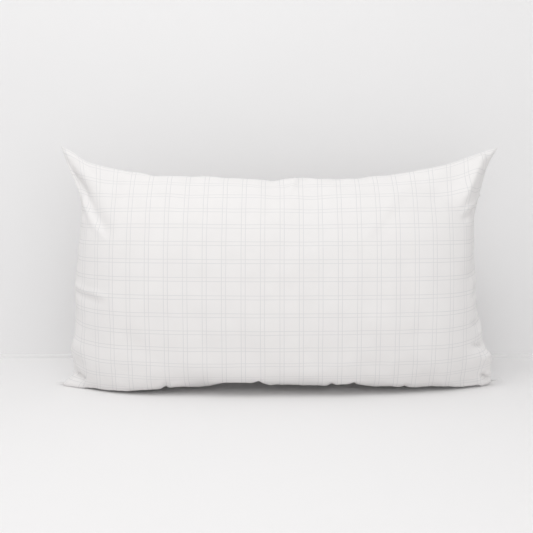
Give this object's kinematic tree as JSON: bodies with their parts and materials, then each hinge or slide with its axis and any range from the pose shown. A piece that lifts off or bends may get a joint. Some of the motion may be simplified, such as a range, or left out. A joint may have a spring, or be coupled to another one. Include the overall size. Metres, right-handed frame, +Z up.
{
  "type": "bed pillow",
  "caption": "King-size knife-edge bed pillow with a fine windowpane check, standing on its long edge and leaning back.",
  "frame": {"origin": "on the floor, under the middle of the standing pillow's box", "axes": "+X along the pillow, -Y out of its front panel, +Z up; the pillow stands on its long edge and leans back towards +Y"},
  "size_m": [0.878, 0.2432, 0.4855],
  "materials": {
    "ticking": "smooth plain-woven cotton ticking, white with a fine grey double-line windowpane check",
    "thread": "white spun polyester sewing thread",
    "fibre": "loose white hollow polyester fibre",
    "label": "blank white satin tape"
  },
  "bodies": {
    "root": {"front_panel": "ticking", "back_panel": "ticking", "fibre_fill": "fibre", "top_seam_stitching": "thread", "bottom_seam_stitching": "thread", "left_seam_stitching": "thread", "closing_seam_stitching": "thread", "care_label": "label"}
  },
  "joints": []
}
